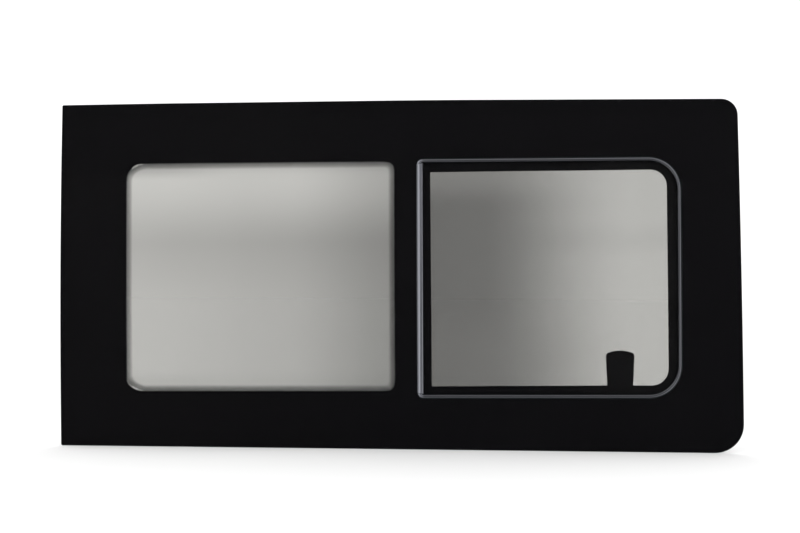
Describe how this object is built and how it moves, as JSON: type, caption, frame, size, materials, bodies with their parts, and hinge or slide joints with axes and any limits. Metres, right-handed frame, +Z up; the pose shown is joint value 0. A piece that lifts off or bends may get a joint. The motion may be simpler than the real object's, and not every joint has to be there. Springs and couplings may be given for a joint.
{
  "type": "van side window with sliding pane",
  "caption": "Bent, black-bordered side window for a large van: fixed clear field at the left, sliding tinted pane with fly screen in a cut-out at the right.",
  "frame": {"origin": "on the ground bottom edge of the fixed glass, in the middle of its length and thickness", "axes": "+X to the right seen from outside, +Y into the vehicle, +Z up"},
  "size_m": [1.3386, 0.045, 0.69],
  "materials": {
    "clear_glass": "clear toughened, slightly tinted",
    "grey_glass": "grey tinted toughened",
    "black_print": "fired ceramic print, glossy through the glass",
    "grey_trim": "glossy grey bead",
    "stile_trim": "glossy ribbed bead",
    "seal_rubber": "matt black",
    "bond": "cured adhesive, black",
    "black_aluminium": "black anodised",
    "black_plastic": "fine grained",
    "steel": "brushed",
    "glide_plastic": "natural white",
    "mesh": "woven fly mesh"
  },
  "bodies": {
    "window": {"outer_glass": "clear_glass", "outer_glass_print": "black_print", "cutout_trim": "grey_trim", "mullion_trim": "stile_trim", "mullion_seal": "seal_rubber", "frame_bond": "bond", "top_rail": "black_aluminium", "bottom_rail": "black_aluminium", "left_post": "black_aluminium", "right_post": "black_aluminium", "top_left_bend": "black_aluminium", "bottom_left_bend": "black_aluminium", "top_right_bend": "black_aluminium", "bottom_right_bend": "black_aluminium", "top_run_seal": "seal_rubber", "bottom_run_seal": "seal_rubber", "right_run_seal": "seal_rubber", "open_stop_top": "seal_rubber", "open_stop_bottom": "seal_rubber", "latch_keeper": "steel", "screen_left_bar": "black_aluminium", "screen_top_bar": "black_aluminium", "screen_bottom_bar": "black_aluminium", "screen_right_bar": "black_aluminium", "screen_top_bend": "black_aluminium", "screen_bottom_bend": "black_aluminium", "screen_mesh": "mesh", "screen_spline": "seal_rubber", "screen_stop_top": "black_plastic", "screen_stop_bottom": "black_plastic"},
    "sliding_pane": {"sliding_glass": "grey_glass", "sliding_glass_print": "black_print", "pane_edge_profile": "black_aluminium", "glide_left": "glide_plastic", "glide_right": "glide_plastic", "guide_left": "glide_plastic", "guide_right": "glide_plastic", "latch_base": "black_plastic", "latch_housing": "black_plastic", "latch_thumb_slide": "black_plastic", "latch_bolt": "steel"}
  },
  "joints": [
    {"name": "pane_slide", "type": "slide", "parent": "window", "child": "sliding_pane", "axis": [-1, 0, 0], "range_m": [0, 0.49]}
  ]
}
